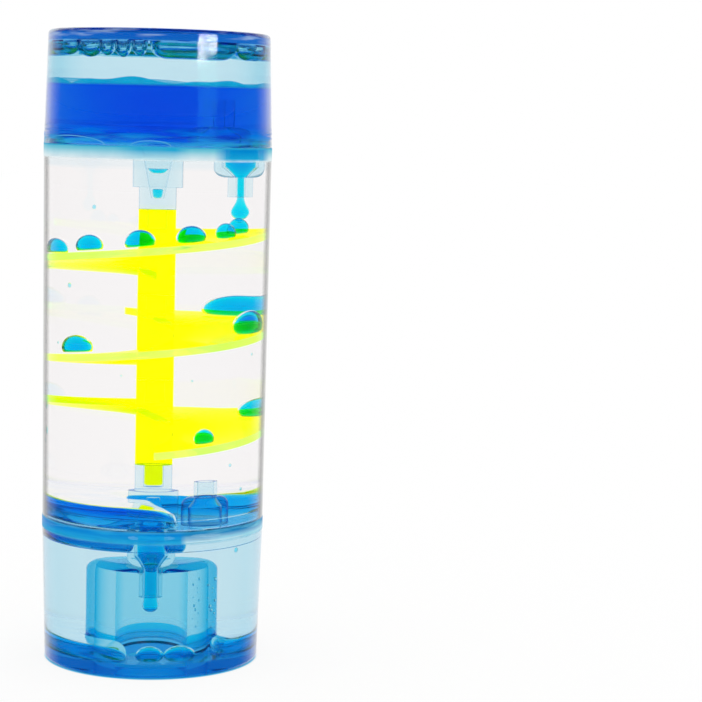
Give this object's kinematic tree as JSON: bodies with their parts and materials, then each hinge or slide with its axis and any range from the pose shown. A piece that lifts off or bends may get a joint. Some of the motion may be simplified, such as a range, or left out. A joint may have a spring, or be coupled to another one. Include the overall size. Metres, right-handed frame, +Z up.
{
  "type": "liquid motion timer",
  "caption": "Liquid motion timer: a clear tube between blue-tinted end cups, with a yellow spiral ramp inside that blue drops run down.",
  "frame": {"origin": "centre of the face that it stands on", "axes": "+Z up along the tube, -Y towards the viewer of the picture, +X to that viewer's right"},
  "size_m": [0.052, 0.052, 0.144],
  "materials": {
    "clear_plastic": "clear polished polystyrene",
    "blue_tinted_plastic": "clear polished polystyrene with a light blue tint",
    "yellow_acrylic": "fluorescent yellow acrylic with bright lime edges",
    "blue_liquid": "dyed blue liquid, clear and wet",
    "stopper": "milky soft stopper"
  },
  "bodies": {
    "shell": {"main_tube": "clear_plastic", "top_cup": "blue_tinted_plastic", "bottom_cup": "blue_tinted_plastic", "filler_plug": "stopper", "top_partition": "blue_tinted_plastic", "bottom_partition": "blue_tinted_plastic", "spiral_turn_1": "yellow_acrylic", "spiral_turn_2": "yellow_acrylic", "spiral_turn_3": "yellow_acrylic", "upper_blue_pool": "blue_liquid", "middle_blue_pool": "blue_liquid", "lower_blue_pool": "blue_liquid"},
    "upper_drop": {"upper_drop": "blue_liquid"},
    "ramp_drops": {"ramp_1_drops": "blue_liquid", "ramp_2_drops": "blue_liquid", "ramp_3_drops": "blue_liquid"},
    "lower_drop": {"lower_drop": "blue_liquid"}
  },
  "joints": [
    {"name": "upper_drop_fall", "type": "slide", "parent": "shell", "child": "upper_drop", "axis": [0, 0, -1], "range_m": [0, 0.00133]},
    {"name": "drop_procession", "type": "hinge", "parent": "upper_drop", "child": "ramp_drops", "pos_m": [0, 0, 0.08], "axis": [0, 0, -1], "range_deg": [0, 36]},
    {"name": "lower_drop_fall", "type": "slide", "parent": "shell", "child": "lower_drop", "axis": [0, 0, -1], "range_m": [0, 0.009]}
  ],
  "couplings": [
    {"joint": "upper_drop_fall", "follows": "drop_procession", "m_per_rad": 0.0021009},
    {"joint": "lower_drop_fall", "follows": "drop_procession", "m_per_rad": 0.0143}
  ]
}
